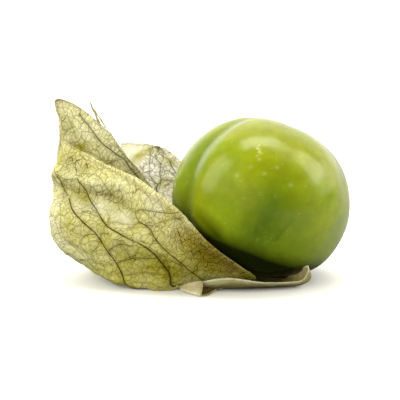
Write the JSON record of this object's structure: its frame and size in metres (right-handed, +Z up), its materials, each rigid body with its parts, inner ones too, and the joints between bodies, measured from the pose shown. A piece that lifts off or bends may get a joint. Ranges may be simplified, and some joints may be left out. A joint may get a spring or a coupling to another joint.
{
  "type": "tomatillo",
  "caption": "Round glossy green tomatillo resting on its own torn papery husk, which leans away to one side as an open veined pouch with loose lobes",
  "frame": {"origin": "on the table, under the middle of the whole object's bounding box", "axes": "+X runs from the husk's tip towards the berry, +Y points away from the side on which the lower lobe's rim shows, +Z up"},
  "size_m": [0.0782, 0.0506, 0.0462],
  "materials": {
    "berry_skin": "glossy waxy fruit skin",
    "calyx_wood": "matt dry stalk scar",
    "husk": "dry translucent veined husk",
    "husk_thin": "dry translucent veined husk, bleached",
    "husk_dry": "dry tan husk"
  },
  "bodies": {
    "root": {"berry": "berry_skin", "calyx_base": "calyx_wood", "husk_pouch": "husk", "husk_side_lobe": "husk_thin", "husk_lower_lobe": "husk_dry"}
  },
  "joints": []
}
